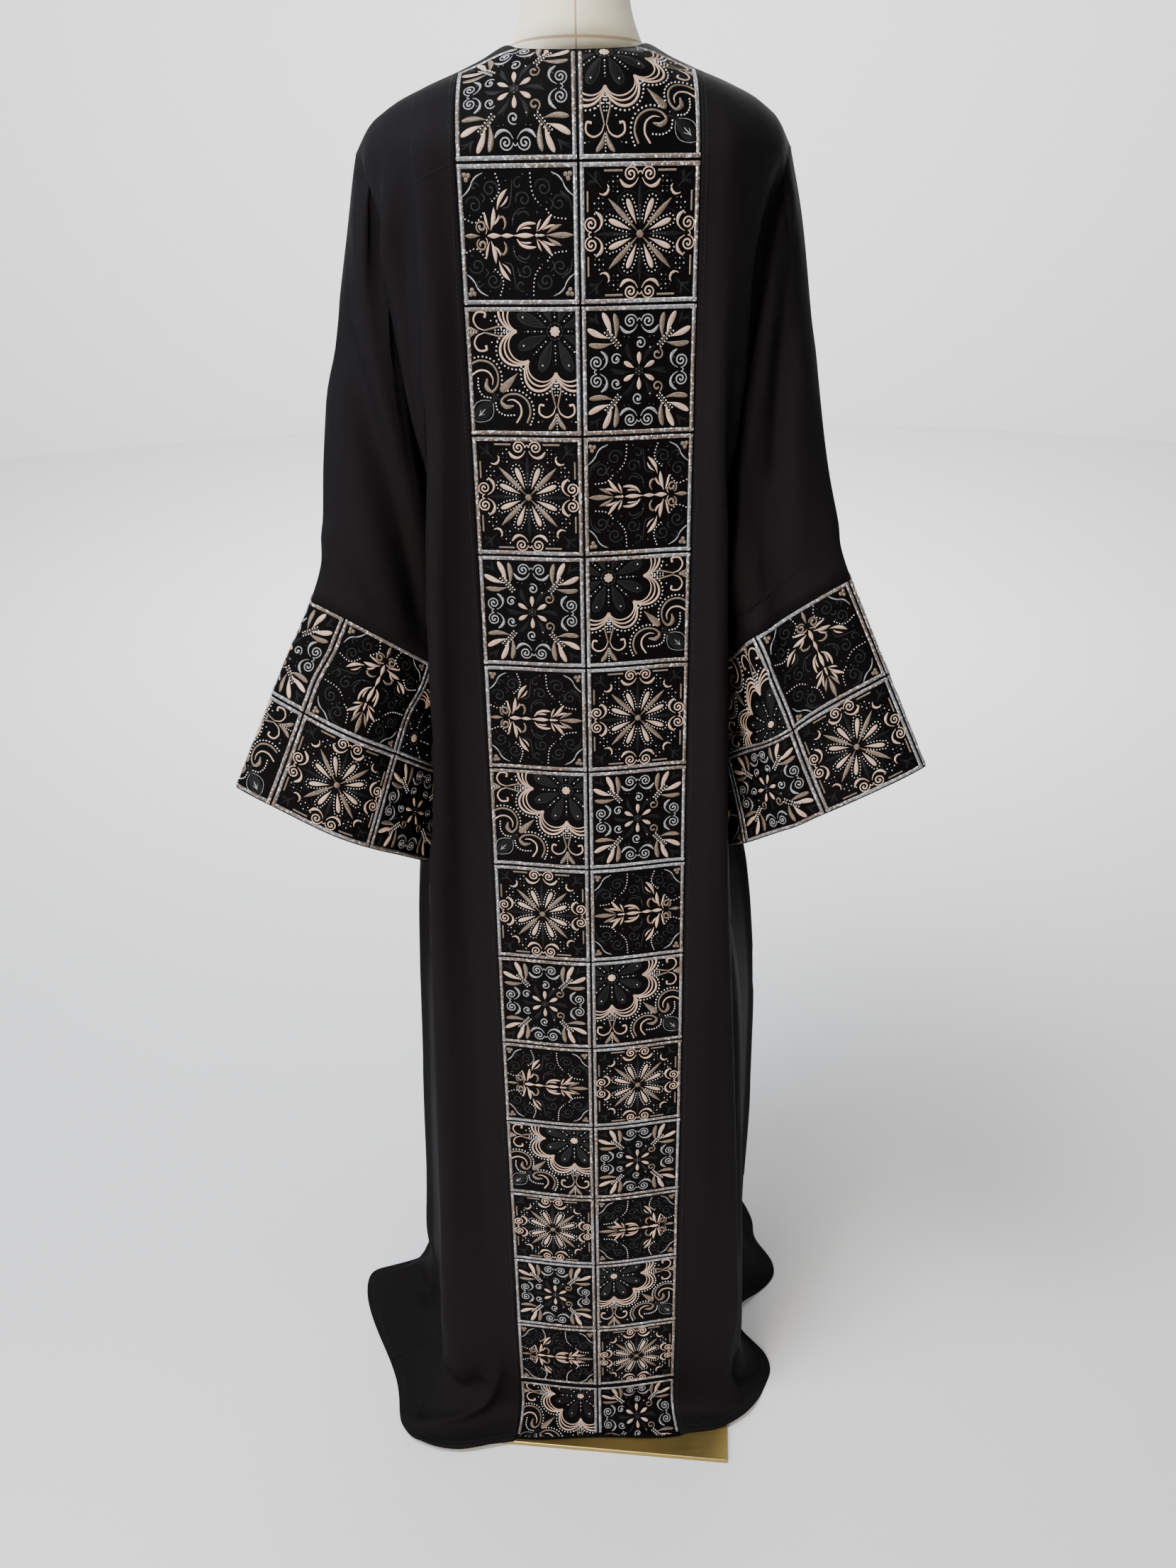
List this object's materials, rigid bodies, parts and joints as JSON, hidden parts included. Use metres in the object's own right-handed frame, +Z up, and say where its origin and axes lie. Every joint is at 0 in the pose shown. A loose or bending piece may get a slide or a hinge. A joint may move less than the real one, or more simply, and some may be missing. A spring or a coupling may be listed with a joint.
{
  "type": "abaya cloak on dress form",
  "caption": "Open wide-sleeved abaya cloak with a tiled embroidered back strip and cuffs, worn on a limbless dress form with a pole and a flat base plate.",
  "frame": {"origin": "middle of the base plate's underside, on the floor below the pole", "axes": "+Z up along the pole, -Y toward the back of the cloak, +X to the right of someone who looks at the back"},
  "size_m": [0.6774, 0.5566, 1.6283],
  "materials": {
    "crepe": "matte black crepe with a soft sheen",
    "embroidered_crepe": "black crepe with silver, cream and taupe embroidery",
    "form_linen": "plain woven linen cover",
    "brass_metal": "satin"
  },
  "bodies": {
    "root": {"back_band": "embroidered_crepe", "back_left": "crepe", "back_right": "crepe", "front_left": "crepe", "front_right": "crepe", "sleeve_left": "crepe", "sleeve_right": "crepe", "cuff_left": "embroidered_crepe", "cuff_right": "embroidered_crepe", "form_torso": "form_linen", "neck_cap": "brass_metal", "pole": "brass_metal", "base_plate": "brass_metal"}
  },
  "joints": []
}
